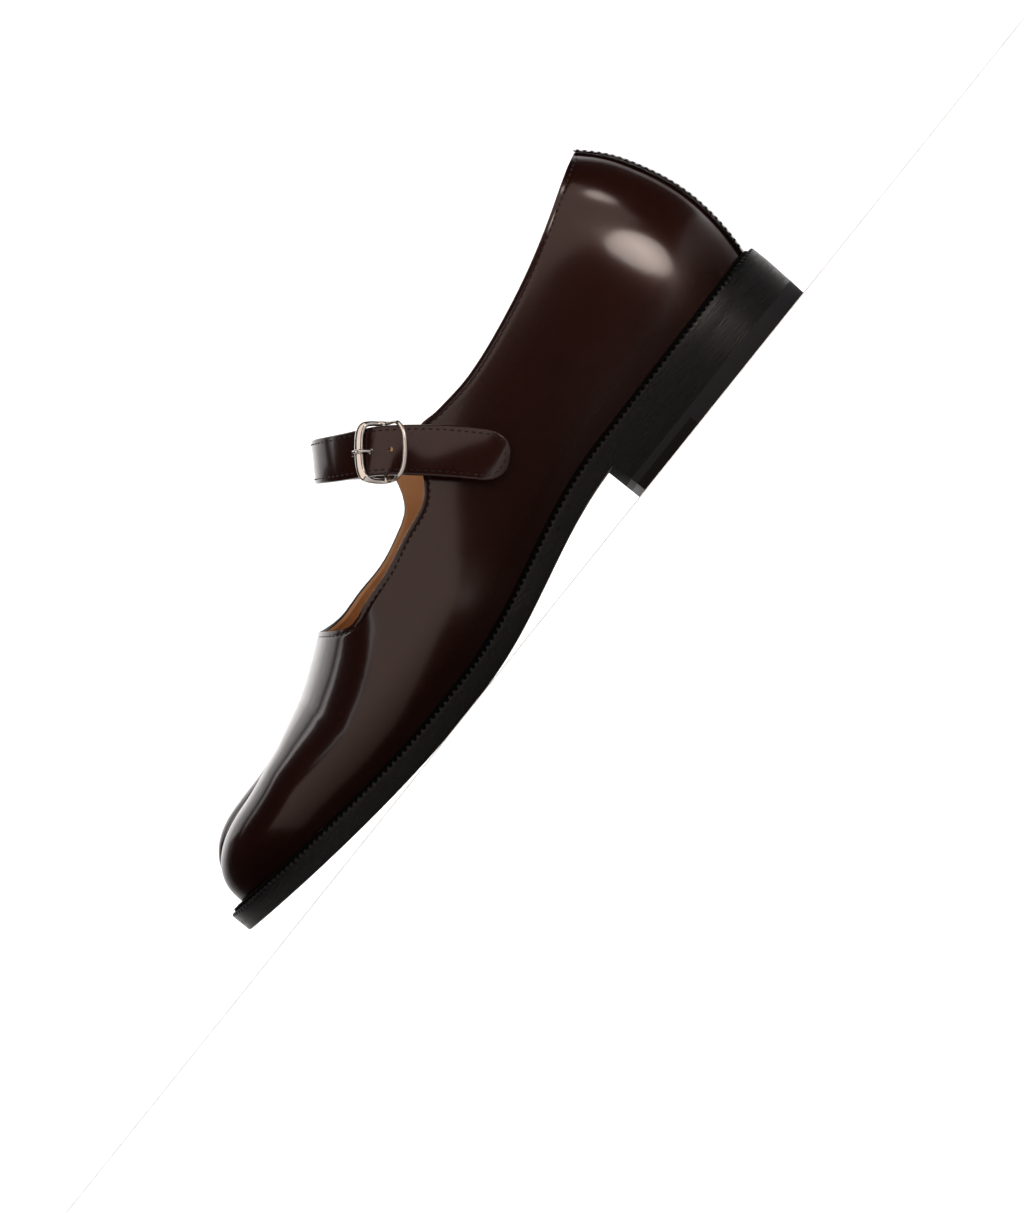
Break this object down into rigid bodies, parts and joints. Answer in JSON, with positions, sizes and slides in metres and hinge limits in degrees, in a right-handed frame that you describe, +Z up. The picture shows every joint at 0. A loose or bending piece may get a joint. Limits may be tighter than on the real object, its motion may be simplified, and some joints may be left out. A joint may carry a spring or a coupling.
{
  "type": "mary jane shoe",
  "caption": "Split-toe mary jane shoe in polished dark brown leather, with an instep strap, a frame buckle, a wheeled welt and a low stacked heel.",
  "frame": {"origin": "on the floor, in the middle of the heel's tread", "axes": "+X to the toe, +Y to the outer side of the left foot, +Z up"},
  "size_m": [0.2947, 0.1039, 0.1009],
  "materials": {
    "upper_leather": "high polish",
    "black_edge": "waxed and brushed",
    "sole_leather": "matte",
    "rubber": "matte",
    "insert": "satin",
    "lining": "matte",
    "nickel": "polished"
  },
  "bodies": {
    "root": {"outsole": "sole_leather", "heel_stack": "black_edge", "top_lift": "rubber", "top_lift_insert": "insert", "welt": "black_edge", "insole": "lining", "upper": "upper_leather", "back_strip": "upper_leather", "strap": "upper_leather", "buckle_tab": "upper_leather", "buckle_frame": "nickel", "buckle_prong": "nickel"}
  },
  "joints": []
}
